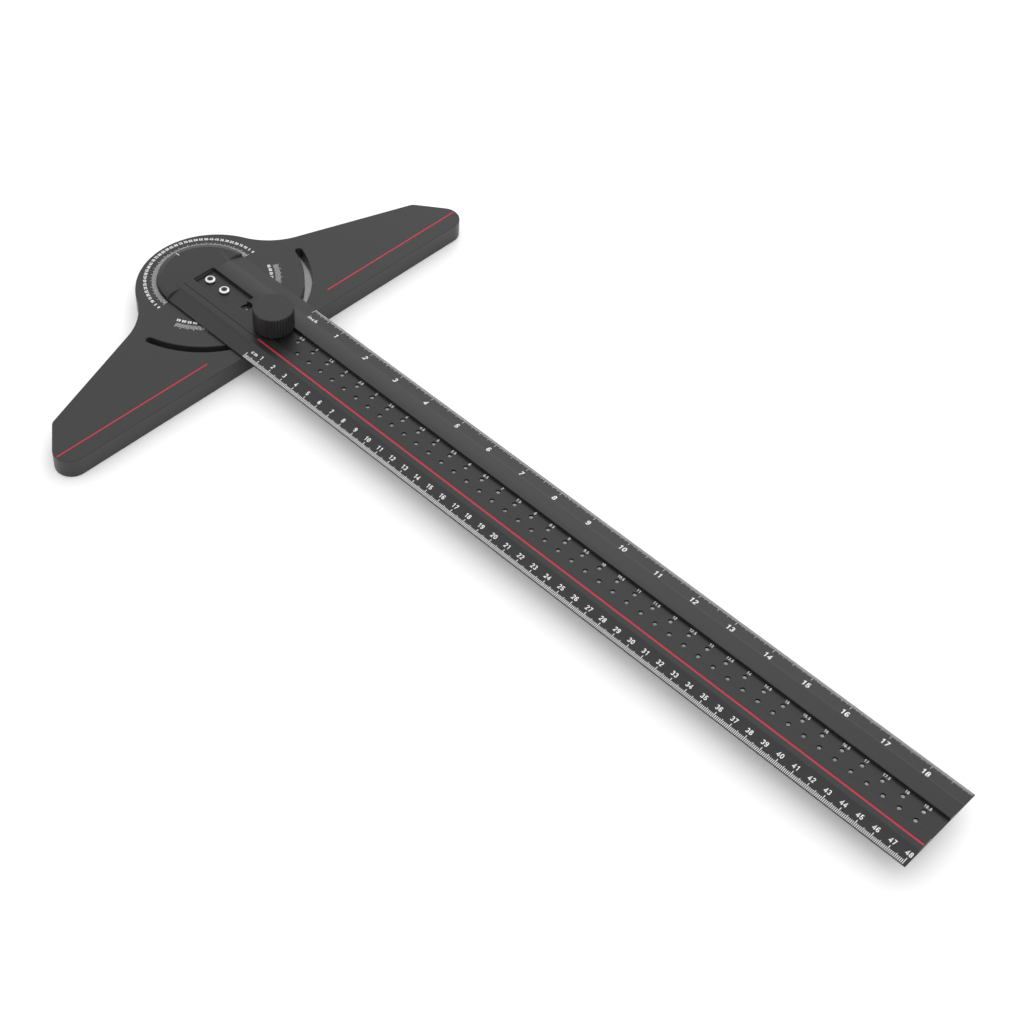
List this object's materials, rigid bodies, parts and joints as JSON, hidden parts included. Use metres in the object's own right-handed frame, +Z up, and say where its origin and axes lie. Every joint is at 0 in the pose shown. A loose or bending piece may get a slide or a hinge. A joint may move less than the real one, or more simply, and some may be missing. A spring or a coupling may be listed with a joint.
{
  "type": "adjustable t-square",
  "caption": "T-shaped head with a fence and a perforated rule that swings on a protractor lobe and locks with a knurled knob in an arc slot.",
  "frame": {"origin": "the fence face, half way up its height, on the rule's centre line when the rule is square to the fence", "axes": "+X out of the fence face along the rule to its tip, +Y to the rule's inch edge, +Z up through the rule's top face"},
  "size_m": [0.5891, 0.3144, 0.0312],
  "materials": {
    "head_anodised": "black anodised, fine bead-blasted",
    "rule_anodised": "black anodised, fine brushed",
    "knob_anodised": "black anodised, knurled",
    "turned_aluminium": "turned",
    "screw_nickel": "nickel plated",
    "zinc_steel": "zinc plated",
    "acetal": "natural",
    "brass": "turned"
  },
  "bodies": {
    "head": {"head": "head_anodised", "bore_liner": "acetal", "glide_ring": "acetal", "thrust_washer": "acetal"},
    "blade": {"blade": "rule_anodised", "pivot_disc": "turned_aluminium", "wave_spring": "zinc_steel", "retaining_plate": "zinc_steel", "plate_screw_1": "zinc_steel", "plate_screw_2": "zinc_steel", "plate_screw_3": "zinc_steel", "plate_screw_4": "zinc_steel", "blade_screw_rear": "screw_nickel", "blade_screw_front": "screw_nickel"},
    "knob": {"knob": "knob_anodised", "knob_insert": "brass", "knob_washer": "zinc_steel", "friction_washer": "acetal"},
    "clamp": {"clamp_stud": "zinc_steel", "clamp_slider": "zinc_steel"}
  },
  "joints": [
    {"name": "blade_swing", "type": "hinge", "parent": "head", "child": "blade", "pos_m": [-0.067, 0, 0], "axis": [0, 0, 1], "range_deg": [-73, 73]},
    {"name": "knob_turn", "type": "hinge", "parent": "blade", "child": "knob", "pos_m": [-0.0053, 0, 0], "axis": [0, 0, 1], "range_deg": [0, 360]},
    {"name": "clamp_lift", "type": "slide", "parent": "blade", "child": "clamp", "axis": [0, 0, 1], "range_m": [-0.00075, 0]}
  ],
  "couplings": [
    {"joint": "clamp_lift", "follows": "knob_turn", "m_per_rad": -0.00011141}
  ]
}
